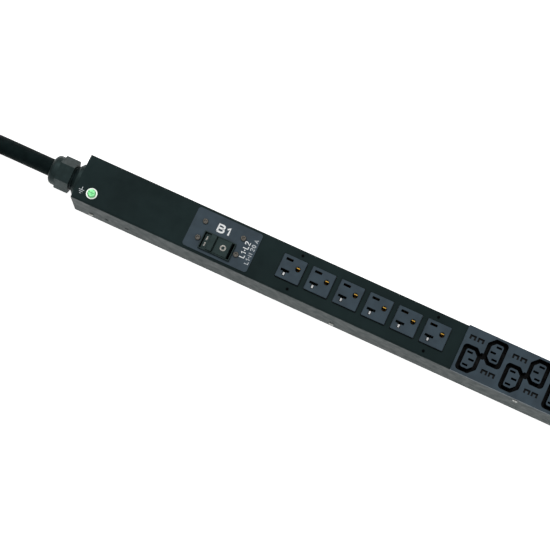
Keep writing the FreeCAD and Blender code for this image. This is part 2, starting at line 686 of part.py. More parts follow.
def outlet(index):
    """One socket body: face with its slots, and a hollow behind for the contacts."""
    body = newBody(f"Outlet{index}")
    top = d.stripDepth + d.outletRise
    block = sketch(body, "XY", d.outletBottom)
    rectangle(block, 0, 0, d.outletSide, d.outletSide, 0.8)
    pad(body, block, top - d.outletBottom)
    inside = sketch(body, "XY", top - d.outletFace)
    rectangle(inside, 0, 0, d.outletSide - d.outletWall * 2, d.outletSide - d.outletWall * 2)
    pocket(body, inside)
    slots = sketch(body, "XY", top)
    rectangle(slots, d.bladeX, d.lineSlotY, d.slotLength, d.slotWidth, 0.3)
    half, low = d.slotWidth / 2, d.neutralSlotY - d.slotWidth / 2
    left, right = d.bladeX - d.wideSlot / 2, d.bladeX + d.wideSlot / 2
    stemLeft, stemRight = d.bladeX - half - 0.3, d.bladeX + half + 0.3
    foot = d.neutralSlotY - d.stemLength
    outline(slots, [
        (left, low), (stemLeft, low), (stemLeft, foot), (stemRight, foot), (stemRight, low), (right, low),
        (right, low + d.slotWidth), (left, low + d.slotWidth),
    ], [0.3, 0.3, 0.6, 0.6, 0.3, 0.3, 0.3, 0.3])
    circle(slots, d.groundPinX, d.groundPinY, d.groundPinRadius)
    pocket(body, slots, d.outletFace + 1)
    leadIn = sketch(body, "XY", top)
    circle(leadIn, d.groundPinX, d.groundPinY, d.groundPinRadius + 0.5)
    rounded = pocket(body, leadIn, 0.5)
    document.recompute()
    rim = [
        f"Edge{i}" for i, edge in enumerate(rounded.Shape.Edges, 1)
        if abs(edge.BoundBox.ZMin - top.value) < 0.01 and max(
            abs(edge.CenterOfMass.x), abs(edge.CenterOfMass.y)) > d.outletSide.value / 2 - 0.7
    ]
    bevel = body.newObject("PartDesign::Chamfer", body.Name + "Bevel")
    bevel.Base = (rounded, rim)
    bevel.Size = 0.4
    body.Tip = bevel
    place(body, (d.outletX + d.outletPitch * (index - 1), d.outletY, 0))
    return node(f"outlet_{index}", body)


def comb(name, y, thick, low, spine, tabs, count, pitch, start, end):
    """A stamped bar: a spine along the strip with the same tabs at every socket."""
    body = newBody(name)
    bar = sketch(body, "XZ", -size(y))
    rectangle(bar, (size(start) + end) / 2, size(low) + size(spine) / 2, size(end) - start, spine)
    pad(body, bar, thick, both=True)
    teeth = sketch(body, "XZ", -size(y))
    for x, width, top in tabs:
        rectangle(teeth, x, (size(low) + top) / 2, width, size(top) - low)
    tooth = pad(body, teeth, thick, both=True)
    repeat(body, [tooth], pitch, count)
    return body


def outletBank():
    for index in range(1, outletCount + 1):
        outlet(index)
    start = d.outletX - d.outletSide / 2
    end = start + d.outletPitch * (outletCount - 1) + d.outletSide
    carrier = newBody("OutletCarrier")
    sheetMetal = sketch(carrier, "XY", webUnder - 1.3)
    middle, length = (start + end) / 2, end - start + 8
    rectangle(sheetMetal, middle, 0, length, trayHalf * 2 - 1, 1.0)
    for x, y in rivets:
        circle(sheetMetal, x, y, 1.4)
    pad(carrier, sheetMetal, 1.2)
    window = sketch(carrier, "XY", webUnder)
    rectangle(window, d.outletX, d.outletY, d.outletSide + 0.4, d.outletSide + 0.4)
    repeat(carrier, [pocket(carrier, window, 3)], d.outletPitch, outletCount)
    node("outlet_carrier", carrier)

    heads = []
    for i, (x, y) in enumerate(rivets):
        dome = rod(f"RivetHead{i}", (x, y, d.stripDepth), d.rivetRadius, 0.7)
        stem = rod(f"RivetStem{i}", (x, y, webUnder - 2.6), 1.4, d.steelThick + 2.7)
        heads.append(fuse(f"Rivet{i}", [dome, stem]))
    node("outlet_rivets", group("OutletRivets", heads))

    inner = d.outletSide / 2
    plate = box("OutletBackPlate", (start, d.outletY - inner, d.outletBottom - 2),
                (end, d.outletY + inner, d.outletBottom - 0.05))
    node("outlet_back_plate", plate)

    # Each socket has its own three contacts, standing on a foot on the back plate.
    base, footThick, leafThick = d.outletBottom + 0.1, 1.0, 0.9
    deepTop, nearTop = d.stripDepth - 11, d.stripDepth + d.outletRise - 1.4
    rows = {
        "line_contacts_520": (d.bladeX, d.lineSlotY, 6.4, deepTop),
        "neutral_contacts_520": (d.bladeX, d.neutralSlotY, 7.6, deepTop),
        "ground_contacts_520": (d.groundPinX, d.groundPinY + 1.5, 3.6, nearTop),
    }
    for name, (atX, atY, width, top) in rows.items():
        pieces = []
        for index in range(outletCount):
            x, y = d.outletX + atX + d.outletPitch * index, d.outletY + atY
            parts = [
                box(f"{name}Foot{index}", (x - 5, y - 2.4, base), (x + 5, y + 2.4, base + footThick)),
                box(f"{name}Leaf{index}", (x - width / 2, y - leafThick / 2, base),
                    (x + width / 2, y + leafThick / 2, top)),
            ]
            if name == "neutral_contacts_520":
                # A second leaf behind the stem of the T-shaped slot.
                stem = y - 3.4
                parts.append(box(f"{name}Stem{index}", (x - 0.9, stem - 1.6, base),
                                 (x + 0.9, stem + 1.6, nearTop)))
                parts.append(box(f"{name}Bridge{index}", (x - 1, stem, base), (x + 1, y, base + footThick)))
            pieces.append(fuse(f"{name}Contact{index}", parts))
        node(name, group(name.title().replace("_", ""), pieces))


# ---------- C13 sockets ----------

def socketOutline(drawing, x, y, length, width, chamfer, corner, facing):
    """The C13 outline: two square corners, and two cut corners on the side that it faces (+1 is +X)."""
    half, tall = size(length) / 2, size(width) / 2
    bend = d.chamferRound if size(length).value > 20 else d.chamferRound / 2
    x, y = size(x), size(y)
    if facing > 0:
        corners = [
            (x - half, y - tall), (x + half - chamfer, y - tall), (x + half, y - tall + chamfer),
            (x + half, y + tall - chamfer), (x + half - chamfer, y + tall), (x - half, y + tall),
        ]
        outline(drawing, corners, [corner, bend, bend, bend, bend, corner])
    else:
        corners = [
            (x - half, y - tall + chamfer), (x - half + chamfer, y - tall), (x + half, y - tall),
            (x + half, y + tall), (x - half + chamfer, y + tall), (x - half, y + tall - chamfer),
        ]
        outline(drawing, corners, [bend, bend, corner, corner, bend, bend])


socketPair = ((d.lowerX, d.lowerY, 1), (d.upperX, d.upperY, -1))
barReach = 4.0


def c13Module(index):
    """One moulding with four pairs of sockets; the pair at the module's start is repeated along it."""
    body = newBody(f"C13Module{index}")
    wallTop = d.stripDepth - d.foldRadius
    flange = sketch(body, "XY", wallTop)
    rectangle(flange, d.moduleLength / 2, 0, d.moduleLength - 0.1, d.moduleWidth, 1.0)
    pad(body, flange, d.moduleTop - wallTop)
    block = sketch(body, "XY", d.moduleBottom)
    rectangle(block, d.moduleLength / 2, 0, d.moduleLength - 3, (trayHalf - 0.3) * 2)
    solid = pad(body, block, wallTop - d.moduleBottom)
    document.recompute()
    rim = [
        f"Edge{i}" for i, edge in enumerate(solid.Shape.Edges, 1)
        if edge.BoundBox.ZMin > d.moduleTop.value - 0.01
    ]
    bevel = body.newObject("PartDesign::Fillet", body.Name + "Bevel")
    bevel.Base = (solid, rim)
    bevel.Radius = 0.7
    body.Tip = bevel

    rings = sketch(body, "XY", d.moduleTop)
    for x, y, facing in socketPair:
        socketOutline(rings, x, y, d.recessLength, d.recessWidth, d.recessChamfer, d.recessCorner, facing)
        socketOutline(rings, x, y, d.recessLength - d.ringGap * 2, d.recessWidth - d.ringGap * 2,
                      d.coreChamfer, d.coreCorner, facing)
    ring = pocket(body, rings, d.recessDepth)
    repeat(body, [ring], d.pairPitch, pairsPerModule)

    details = sketch(body, "XY", d.moduleTop)
    for x, y, facing in socketPair:
        for side in (-1, 1):
            rectangle(details, x - d.pinShift * facing, y + d.pinSpacing * side, d.pinLength, d.pinWidth, 0.2)
        rectangle(details, x + (d.pinStep - d.pinShift) * facing, y, d.pinLength, d.pinWidth, 0.2)
    through = pocket(body, details)
    repeat(body, [through], d.pairPitch, pairsPerModule)

    marks = sketch(body, "XY", d.moduleTop)
    for left, low, way in ((5.0, 12.2, 1), (13.8, 12.2, 1), (29.5, -16.4, 1), (37.8, -16.4, 1)):
        tabMark(marks, size(left), size(low), way)
    shallow = pocket(body, marks, 2.4)
    repeat(body, [shallow], d.pairPitch, pairsPerModule)

    link = sketch(body, "XY", d.moduleTop)
    rectangle(link, (d.lowerX + d.upperX) / 2, (d.lowerY + d.upperY) / 2, 5.4, 6.6, 1.4)
    notch = pocket(body, link, d.recessDepth)
    repeat(body, [notch], d.pairPitch, pairsPerModule)

    for side in (-1, 1):
        screwHole = sketch(body, "XZ", -halfWidth * side)
        circle(screwHole, d.moduleScrewStart - d.bankStart, d.moduleScrewLevel, d.sideScrewHole)
        body.Tip = pocket(body, screwHole, 5.6) if side < 0 else pocketAlong(body, screwHole, 5.6)
    place(body, (d.bankStart + d.moduleLength * (index - 1), 0, 0))
    return node(f"c13_module_{index}", body)


def tabMark(drawing, left, low, way):
    """A narrow groove on three sides of a small tongue, open towards -Y."""
    right, high, line = left + d.tabMark, low + d.tabMarkTall, d.tabMarkLine
    outline(drawing, [
        (left, low), (left + line, low), (left + line, high - line), (right - line, high - line),
        (right - line, low), (right, low), (right, high), (left, high),
    ])


def c13Bank():
    for index in range(1, moduleCount + 1):
        c13Module(index)
    for index in range(1, moduleCount + 1):
        start = d.bankStart + d.moduleLength * (index - 1) + 1.5
        lid = box(f"C13Back{index}", (start, -(trayHalf - 1.6), d.moduleBottom - 4.5),
                  (start + d.moduleLength - 3, trayHalf - 1.6, d.moduleBottom - 2.5))
        node(f"c13_back_{index}", lid)
    rows = {"c13_line_one_bars": [], "c13_line_two_bars": [], "c13_ground_bars": []}
    total = moduleCount * pairsPerModule
    for x, y, facing in socketPair:
        poleX = d.bankStart + x - d.pinShift * facing
        groundX = poleX + d.pinStep * facing
        rows["c13_line_one_bars"].append((poleX, y - d.pinSpacing * 1))
        rows["c13_line_two_bars"].append((poleX, y + d.pinSpacing * 1))
        rows["c13_ground_bars"].append((groundX, y))
    for name, places in rows.items():
        bars = [
            comb(f"{name.title().replace('_', '')}{i}", y, 0.9, d.moduleBottom - 2.4, 2.2,
                 [(x, 4.4, d.moduleTop - 6)], total, d.pairPitch, d.bankStart - barReach, d.bankStart + bankLength - 3)
            for i, (x, y) in enumerate(places)
        ]
        node(name, group(name.title().replace("_", ""), bars))


# ---------- Gland ----------

def gland():
    """Body in the end wall, cap nut with a rounded nose, rubber seal on the cord, and the nut inside."""
    body = newBody("GlandBody")
    half = sketch(body, "XZ")
    sleeve = d.neckRadius + 0.75
    outline(half, [
        (13, d.boreRadius), (13, d.threadRadius), (0, d.threadRadius), (0, d.flangeRadius),
        (-d.flangeThick, d.flangeRadius), (-10, d.neckRadius), (d.capStart - 1.0, d.neckRadius),
        (d.capStart - 1.0, sleeve), (-22, sleeve), (-22, d.boreRadius),
    ])
    revolve(body, half, "H_Axis")
    place(body, (0, 0, d.glandLevel))
    node("gland_body", body)

    body = newBody("GlandCap")
    nut = sketch(body, "YZ", d.capHexEnd)
    sixSides(nut, d.capFlats)
    pad(body, nut, d.capStart - d.capHexEnd)
    nose = sketch(body, "XZ")
    outline(nose, [
        (d.capHexEnd + 1, 0), (d.capHexEnd + 1, d.domeRadius), (d.capEnd, d.domeRadius), (d.capEnd, 0),
    ], [0, 0, 5.5, 0])
    revolve(body, nose, "H_Axis")
    hollow = sketch(body, "XZ")
    room = sleeve + 0.15
    outline(hollow, [
        (d.capStart + 1, 0), (d.capStart + 1, room), (-24.0, room), (-33.0, d.mouthRadius + 1.6),
        (-33.0, d.mouthRadius), (d.capEnd - 1, d.mouthRadius), (d.capEnd - 1, 0),
    ])
    bore = body.newObject("PartDesign::Groove", "GlandCapBore")
    bore.Profile = hollow
    bore.ReferenceAxis = (hollow, ["H_Axis"])
    bore.Angle = 360
    body.Tip = bore
    place(body, (0, 0, d.glandLevel))
    document.recompute()
    body.Placement = Placement(body.Placement.Base, Rotation(Vector(1, 0, 0), 12))
    node("gland_cap", body)

    body = newBody("GlandSeal")
    ring = sketch(body, "XZ")
    outline(ring, [
        (-22.2, d.cordDiameter / 2 + 0.1), (-22.2, 12.6), (-24.2, 12.6), (-32.8, d.mouthRadius + 1.4),
        (-32.8, d.cordDiameter / 2 + 0.1),
    ])
    revolve(body, ring, "H_Axis")
    place(body, (0, 0, d.glandLevel))
    node("gland_seal", body)

    body = newBody("GlandLocknut")
    nut = sketch(body, "YZ", d.plateThick)
    sixSides(nut, 33)
    circle(nut, 0, 0, d.threadRadius + 0.1)
    pad(body, nut, 5)
    place(body, (0, 0, d.glandLevel))
    node("gland_locknut", body)


# ---------- Cord, coil and plug ----------

# The cord's route from inside the gland down to the surface, and from the top of the coil to the plug.
cordRoute = [(-10, 0, 25), (-60, 0, 25), (-110, 0.3, 23.2), (-158, 0.3, 14.6), (-205, 0, 9.9)]
tailRoute = [
    (-97.1, -128.6, 30.5), (-97.1, -90.6, 35), (-110.1, -54.8, 41),
    (-138.5, -24.5, 46.5), (-175.5, -6.7, 49.2), (-216.2, -3.2, 49.6),
    (-255.2, -15.1, 49.6), (-287, -40.8, 49.4), (-306.8, -76.5, 49.6), (-311.7, -117.1, 51),
    (-301.2, -156.5, 54.6), (-276.6, -189.1, 59.8), (-242, -209.6, 65), (-208, -216, 68.2), (-164, -217, 68.2),
]
plugEnd = Vector(*tailRoute[-1])


def cordAndCoil():
    diameter = d.cordDiameter.value
    node("power_cord", tube("PowerCord", cordRoute, diameter))
    node("cord_tail", tube("CordTail", tailRoute, diameter))
    body = newBody("CordCoil")
    half = sketch(body, "XZ")
    radius = d.cordDiameter / 2
    rectangle(half, (d.coilInner + d.coilOuter) / 2, (d.cordRest + d.layerRise + radius) / 2,
              d.coilOuter - d.coilInner + d.cordDiameter, d.cordRest + d.layerRise + radius, 9.0)
    revolve(body, half, "V_Axis")
    place(body, (d.coilX, -d.coilOuter, 0))
    node("cord_coil", body)
    stub = rod("JacketStub", (d.cordStart, 0, d.glandLevel), d.cordDiameter / 2, 20, "+x")
    node("cord_jacket_end", stub)


def plug():
    """Twist-lock plug on the end of the cord, lying on the coil; it is built along +x and then turned."""
    heading = Rotation(Vector(0, 0, 1), d.plugHeading.value)
    made = []
    body = newBody("PlugBody")
    half = sketch(body, "XZ")
    outline(half, [
        (-10, d.cordDiameter / 2 + 0.15), (-10, 17), (-2, 17.5), (6, 22), (14, d.plugRadius - 1.5),
        (34, d.plugRadius - 2.5), (40, d.plugRadius), (d.plugLength, d.plugRadius), (d.plugLength, 24.5),
        (8, 13), (8, d.cordDiameter / 2 + 0.15),
    ], [0, 2, 3, 3, 3, 3, 2, 2, 0, 0, 0])
    revolve(body, half, "H_Axis")
    made.append(("plug_body", body))

    body = newBody("PlugFace")
    disc = sketch(body, "YZ", d.plugLength - 9)
    circle(disc, 0, 0, 19.0)
    pad(body, disc, 11)
    made.append(("plug_face", body))

    blades = []
    for i in range(4):
        start = 90 * i + 45
        body = newBody(f"PlugBlade{i}")
        curve = sketch(body, "YZ", d.plugLength + 2)
        rectangle(curve, d.bladeCircle, 0, 1.6, 9.0 if i else 11.0, 0.5)
        pad(body, curve, d.bladeLength)
        body.Placement = Placement(Vector(), Rotation(Vector(1, 0, 0), start))
        blades.append(body)
    made.append(("plug_blades", group("PlugBlades", blades)))

    clampStart, clampLength, screwY, screwRadius = -24, 13.6, 18.6, 1.6
    body = newBody("PlugClamp")
    collar = sketch(body, "YZ", clampStart)
    circle(collar, 0, 0, 15.5)
    circle(collar, 0, 0, d.cordDiameter / 2 + 0.15)
    pad(body, collar, clampLength)
    ears = sketch(body, "YZ", clampStart)
    for side in (-1, 1):
        rectangle(ears, 17.5 * side, 0, 9, 12, 2)
    pad(body, ears, clampLength)
    split = sketch(body, "YZ", clampStart)
    for side in (-1, 1):
        rectangle(split, 17 * side, 0, 12, 1.2)
    pocketAlong(body, split, clampLength + 1)
    holes = sketch(body, "XY")
    for side in (-1, 1):
        circle(holes, clampStart + clampLength / 2, screwY * side, screwRadius + 0.05)
    body.Tip = pocket(body, holes, 40, both=True)
    made.append(("plug_clamp", body))

    screws = [
        screw(f"ClampScrew{side > 0}", (clampStart + clampLength / 2, screwY * side, 6.05), "+z", 3.0, 2.2,
              screwRadius, 11) for side in (-1, 1)
    ]
    made.append(("plug_screws", group("PlugScrews", screws)))

    cordInside = 2.0
    base = plugEnd - heading.multVec(Vector(cordInside, 0, 0))
    for name, feature in made:
        feature.Placement = Placement(base, heading)
        node(name, feature)


# ---------- Wiring inside ----------

def wiring():
    """The cord's four cores, and the wires from the breaker and the ground screw to the bank of bars."""
    core, lead = 5.2, 4.2
    start = 11.2
    left = d.bezelX.value - d.caseLength.value / 2 - 8.4
    right = d.bezelX.value + d.caseLength.value / 2 + 8.4
    level, lineLevel, loadLevel = d.glandLevel.value, fixedContactLevel.value + 0.75, loadStripLevel.value
    lowY, highY = (y.value for y in poleYs)
    cores = [
        tube("CoreOne", [(start, -3.4, level - 3), (48, -6, level - 3), (88, lowY - 1, lineLevel),
                         (left, lowY, lineLevel)], core),
        tube("CoreTwo", [(start, 3.4, level - 3), (48, 6, level - 3), (88, highY + 1, lineLevel),
                         (left, highY, lineLevel)], core),
        tube("CoreNeutral", [(start, 3.4, level + 3.6), (32, 5, 28), (62, 16, 14), (104, 19.4, 5.2),
                             (148, 19.6, 4.9), (190, 19.3, 5.3), (210, 18.6, 11.5), (222, 17.6, 20)], core),
        tube("CoreGround", [(start, -3.4, level + 3.6), (20, -6, 31), (25, -10.4, 36), (26, -13, 42)], core, 0.4),
    ]
    node("cord_cores", group("CordCores", cores))

    barStart, barLevel = d.bankStart.value - barReach - 0.9, d.moduleBottom.value - 1.3
    lowBar, highBar = (d.lowerY - d.pinSpacing).value, (d.upperY + d.pinSpacing).value
    loads = [
        tube("LoadOne", [(right, lowY, loadLevel), (214, lowY - 1, 14), (240, -14, 8), (310, -15.4, 7.2),
                         (380, -15, 7.6), (412, -14.7, 12), (421, lowBar, 24), (barStart, lowBar, barLevel)], lead),
        tube("LoadTwo", [(right, highY, loadLevel), (214, highY + 2, 14), (240, 13, 8), (310, 14.4, 7.2),
                         (380, 14, 7.6), (412, 14.4, 12), (422, highBar, 24), (barStart, highBar, barLevel)], lead),
    ]
    node("load_wires", group("LoadWires", loads))
    ground = tube("GroundLead", [(29.9, -14.2, 42), (38, -15, 36), (66, -15.4, 13), (118, -18.6, 4.8),
                                 (196, -6, 4.6), (250, -1, 6), (320, 0.6, 5.4), (396, -1.4, 6), (414, -4, 11),
                                 (423, d.lowerY.value, 23.5), (barStart, d.lowerY.value, barLevel)], lead)
    node("ground_lead", ground)


housing()
groundScrew()
breakerPlate()
breakerCase()
breakerRocker()
contactBridge()
breakerTerminals()
outletBank()
c13Bank()
gland()
cordAndCoil()
plug()
wiring()
document.recompute()

faults = [item.Name for item in document.Objects if {"Invalid", "Error"} & set(item.State)]
for name, feature in nodes.items():
    if feature.Shape.isNull() or not feature.Shape.isValid() or feature.Shape.Volume <= 0:
        faults.append(name)
if faults:
    raise ValueError("failed: " + ", ".join(faults))
os.makedirs("parts", exist_ok=True)
for name, feature in nodes.items():
    feature.Shape.exportStep(f"parts/{name}.step")
print(len(nodes), "sub-parts written")
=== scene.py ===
import math
import bpy
import bmesh
from mathutils import Euler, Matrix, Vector


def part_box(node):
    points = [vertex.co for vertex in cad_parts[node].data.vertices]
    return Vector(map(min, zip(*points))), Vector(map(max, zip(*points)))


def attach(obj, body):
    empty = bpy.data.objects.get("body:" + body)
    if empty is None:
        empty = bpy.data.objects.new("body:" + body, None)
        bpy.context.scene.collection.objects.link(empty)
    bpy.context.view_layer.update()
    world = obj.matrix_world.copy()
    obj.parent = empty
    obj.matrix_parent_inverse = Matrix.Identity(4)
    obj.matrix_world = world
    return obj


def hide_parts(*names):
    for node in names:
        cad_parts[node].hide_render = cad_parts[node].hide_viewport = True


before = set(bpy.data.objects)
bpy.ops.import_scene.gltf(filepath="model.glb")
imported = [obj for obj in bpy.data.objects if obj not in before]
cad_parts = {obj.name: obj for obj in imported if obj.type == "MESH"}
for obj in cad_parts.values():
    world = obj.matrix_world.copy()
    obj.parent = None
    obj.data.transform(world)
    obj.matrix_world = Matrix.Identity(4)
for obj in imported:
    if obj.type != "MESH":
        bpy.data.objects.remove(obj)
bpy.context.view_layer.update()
mm = 0.001
scene = bpy.context.scene
scene.view_settings.view_transform = "Standard"
scene.view_settings.look = "None"

# camera first, then the cord, because the cord's room depends on what the camera sees
cameraSettings = {"at": (-42.43, -417.45, 1912.04), "turn": (13.3025, -0.5051, 24.9437), "lens": 120.663}

cameraData = bpy.data.cameras.new("camera")
cameraData.lens = cameraSettings["lens"]
cameraData.clip_start = 0.05
camera = bpy.data.objects.new("camera", cameraData)
camera.location = [c * mm for c in cameraSettings["at"]]
camera.rotation_euler = Euler([math.radians(a) for a in cameraSettings["turn"]])
scene.collection.objects.link(camera)
scene.camera = camera


def linear(hexColour):
    parts = [int(hexColour[i:i + 2], 16) / 255 for i in (1, 3, 5)]
    return [p / 12.92 if p <= 0.04045 else ((p + 0.055) / 1.055) ** 2.4 for p in parts] + [1.0]


def addNode(tree, kind, settings=None, links=None):
    added = tree.nodes.new(kind)
    for key, value in (settings or {}).items():
        if isinstance(key, int) or key in added.inputs:
            added.inputs[key].default_value = value
        else:
            setattr(added, key, value)
    for key, source in (links or {}).items():
        tree.links.new(source, added.inputs[key])
    return added


def newMaterial(name, colour, shaderSettings):
    material = bpy.data.materials.new(name)
    material.use_nodes = True
    tree = material.node_tree
    shader = tree.nodes["Principled BSDF"]
    shader.inputs["Base Color"].default_value = linear(colour)
    for key, value in shaderSettings.items():
        shader.inputs[key].default_value = value
    coords = addNode(tree, "ShaderNodeTexCoord").outputs["Object"]
    return material, tree, shader, coords


coolGlint = (0.66, 0.97, 0.96, 1.0)  # the black finishes throw back a slightly green light


def perMetre(millimetres):
    return 1000 / millimetres


def mottle(tree, coords, shader, low, high, patch, detail=4.0, contrast=(0.35, 0.65)):
    # slow change of tone between two colours, with patches of a given size in mm
    noise = addNode(tree, "ShaderNodeTexNoise", {"Scale": perMetre(patch), "Detail": detail},
                    {"Vector": coords})
    ramp = addNode(tree, "ShaderNodeValToRGB", {}, {"Fac": noise.outputs["Fac"]})
    ramp.color_ramp.elements[0].position, ramp.color_ramp.elements[1].position = contrast
    ramp.color_ramp.elements[0].color, ramp.color_ramp.elements[1].color = linear(low), linear(high)
    tree.links.new(ramp.outputs["Color"], shader.inputs["Base Color"])
    return ramp


def unevenGloss(tree, coords, shader, low, high, patch):
    noise = addNode(tree, "ShaderNodeTexNoise", {"Scale": perMetre(patch), "Detail": 5.0}, {"Vector": coords})
    spread = addNode(tree, "ShaderNodeMapRange", {
        "From Min": 0.3, "From Max": 0.7, "To Min": low, "To Max": high},
                     {"Value": noise.outputs["Fac"]})
    tree.links.new(spread.outputs["Result"], shader.inputs["Roughness"])


def grainBump(tree, shader, height, depth, strength=1.0):
    bump = addNode(tree, "ShaderNodeBump", {"Strength": strength, "Distance": depth * mm}, {"Height": height})
    tree.links.new(bump.outputs["Normal"], shader.inputs["Normal"])


# steel sheet under a fine-sand powder coat: near black with a green cast, and a grain that breaks up gloss
powderCoatSettings = {"colour": "#10191A", "light": "#162122", "grain": 0.7, "grainDepth": 0.035, "patch": 60}


def powderCoat():
    s = powderCoatSettings
    material, tree, shader, coords = newMaterial("powderCoatedSteel", s["colour"], {
        "Roughness": 0.5, "IOR": 1.5, "Specular IOR Level": 0.13, "Specular Tint": coolGlint,
        "Sheen Weight": 0.06, "Sheen Roughness": 0.3, "Sheen Tint": (0.76, 0.95, 0.93, 1.0)})
    mottle(tree, coords, shader, s["colour"], s["light"], s["patch"])
    unevenGloss(tree, coords, shader, 0.42, 0.58, 9)
    grain = addNode(tree, "ShaderNodeTexVoronoi", {"Scale": perMetre(s["grain"])}, {"Vector": coords})
    grainBump(tree, shader, grain.outputs["Distance"], s["grainDepth"], 0.6)
    return material


# injection-moulded polycarbonate with a spark-eroded grain: slate grey with a blue cast, satin, with an
# optional near-black painted shade below the face of socket wells and raised flanks
slateSettings = {"colour": "#303D46", "light": "#384751", "well": "#07090A", "wellTop": 0.7, "grain": 0.45,
                 "grainDepth": 0.02, "patch": 14}


def slatePolycarbonate(name="mouldedSlatePolycarbonate", wells=None, wall=0):
    s = slateSettings
    material, tree, shader, coords = newMaterial(name, s["colour"], {
        "Roughness": 0.5, "IOR": 1.58, "Specular IOR Level": 0.15})
    ramp = mottle(tree, coords, shader, s["colour"], s["light"], s["patch"])
    if wells:
        # painted shade: near black below the face, but only inside the block's side walls; a negative wall
        # takes in the whole block, so the outlets' raised flanks get it too
        low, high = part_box(wells)
        parts = addNode(tree, "ShaderNodeSeparateXYZ", {}, {0: coords}).outputs
        across = addNode(tree, "ShaderNodeMath", {"operation": "ABSOLUTE"}, {0: parts["Y"]})
        inside = addNode(tree, "ShaderNodeMath", {"operation": "LESS_THAN", 1: high.y - wall * mm},
                         {0: across.outputs[0]})
        depth = addNode(tree, "ShaderNodeMapRange", {
            "From Min": high.z - s["wellTop"] * mm, "From Max": high.z - 2 * s["wellTop"] * mm},
            {"Value": parts["Z"]})
        share = addNode(tree, "ShaderNodeMath", {"operation": "MULTIPLY"},
                        {0: inside.outputs[0], 1: depth.outputs["Result"]})
        paintedShadeMix = addNode(tree, "ShaderNodeMix", {"data_type": "RGBA", 7: linear(s["well"])},
                        {0: share.outputs[0], 6: ramp.outputs["Color"]})
        tree.links.new(paintedShadeMix.outputs[2], shader.inputs["Base Color"])
    unevenGloss(tree, coords, shader, 0.42, 0.56, 4)
    grain = addNode(tree, "ShaderNodeTexNoise", {"Scale": perMetre(s["grain"]), "Detail": 2.0},
                    {"Vector": coords})
    grainBump(tree, shader, grain.outputs["Fac"], s["grainDepth"], 0.7)
    return material


# glass-filled nylon: black, with faint lighter flow where the fibres reach the skin
nylonSettings = {"colour": "#0C1415", "light": "#172122", "grain": 0.5, "grainDepth": 0.02, "patch": 7}


def blackNylon():
    s = nylonSettings
    material, tree, shader, coords = newMaterial("glassFilledNylon", s["colour"], {
        "Roughness": 0.4, "IOR": 1.53, "Specular IOR Level": 0.32, "Specular Tint": coolGlint})
    mottle(tree, coords, shader, s["colour"], s["light"], s["patch"], 6.0)
    unevenGloss(tree, coords, shader, 0.44, 0.58, 3)
    grain = addNode(tree, "ShaderNodeTexNoise", {"Scale": perMetre(s["grain"]), "Detail": 3.0},
                    {"Vector": coords})
    grainBump(tree, shader, grain.outputs["Fac"], s["grainDepth"], 0.6)
    return material


# the breaker's thermoset case and rocker: dark grey with a green cast and a faint paler mottle
phenolicSettings = {"colour": "#121A1A", "light": "#1C2625", "grain": 0.6, "grainDepth": 0.02, "patch": 5}


def breakerPhenolic():
    s = phenolicSettings
    material, tree, shader, coords = newMaterial("mouldedPhenolic", s["colour"], {
        "Roughness": 0.45, "IOR": 1.55, "Specular IOR Level": 0.25, "Specular Tint": coolGlint})
    mottle(tree, coords, shader, s["colour"], s["light"], s["patch"], 6.0)
    unevenGloss(tree, coords, shader, 0.36, 0.52, 2.5)
    grain = addNode(tree, "ShaderNodeTexNoise", {"Scale": perMetre(s["grain"]), "Detail": 3.0},
                    {"Vector": coords})
    grainBump(tree, shader, grain.outputs["Fac"], s["grainDepth"], 0.5)
    return material


def platedMetal(name, colour, light, roughness, patch=2.0, brushed=0.0):
    # plated or bare metal: its tone and gloss drift a little, and stamped parts keep fine drawing lines
    material, tree, shader, coords = newMaterial(name, colour, {"Metallic": 1.0, "Roughness": roughness})
    mottle(tree, coords, shader, colour, light, patch, 5.0)
    unevenGloss(tree, coords, shader, roughness * 0.8, roughness * 1.25, patch * 0.6)
    if brushed:
        stretched = addNode(tree, "ShaderNodeMapping", {"Scale": (1.0, 1.0, 0.06)}, {"Vector": coords})
        lines = addNode(tree, "ShaderNodeTexNoise", {"Scale": perMetre(brushed), "Detail": 3.0},
                        {"Vector": stretched.outputs["Vector"]})
        grainBump(tree, shader, lines.outputs["Fac"], 0.01, 0.5)
    return material


# thermoset rubber cord jacket: extruded, with a fine grain and a dusty satin bloom
jacketSettings = {"colour": "#050C0D", "light": "#0A1415", "bloomPatch": 11, "grain": 0.8, "grainDepth": 0.03}


def cordRubber():
    s = jacketSettings
    material, tree, shader, coords = newMaterial("thermosetCordJacket", s["colour"], {
        "Roughness": 0.55, "IOR": 1.52, "Specular IOR Level": 0.1, "Specular Tint": coolGlint})
    mottle(tree, coords, shader, s["colour"], s["light"], s["bloomPatch"], 6.0)
    unevenGloss(tree, coords, shader, 0.6, 0.8, 5)
    grain = addNode(tree, "ShaderNodeTexNoise", {"Scale": perMetre(s["grain"]), "Detail": 4.0},
                    {"Vector": coords})
    grainBump(tree, shader, grain.outputs["Fac"], s["grainDepth"], 0.6)
    return material


# nylon hook-and-loop strap: a nap of tiny loops that catches light at its edge
strapSettings = {"colour": "#17181A", "light": "#26282B", "loop": 0.6, "loopDepth": 0.12}


def strapFabric():
    s = strapSettings
    material, tree, shader, coords = newMaterial("loopPileNylon", s["colour"], {
        "Roughness": 0.9, "Sheen Weight": 0.35, "Sheen Roughness": 0.4})
    loops = addNode(tree, "ShaderNodeTexVoronoi", {"Scale": perMetre(s["loop"])}, {"Vector": coords})
    ramp = mottle(tree, coords, shader, s["colour"], s["light"], 3)
    tree.links.new(loops.outputs["Distance"], ramp.inputs["Fac"])
    grainBump(tree, shader, loops.outputs["Distance"], s["loopDepth"], 0.8)
    return material


# pad-printed epoxy ink: flat, with a slightly patchy tone
def printedInk(name, colour, light):
    material, tree, shader, coords = newMaterial(name, colour, {"Roughness": 0.6, "IOR": 1.5})
    mottle(tree, coords, shader, colour, light, 1.2, 5.0)
    unevenGloss(tree, coords, shader, 0.5, 0.7, 1.0)
    return material


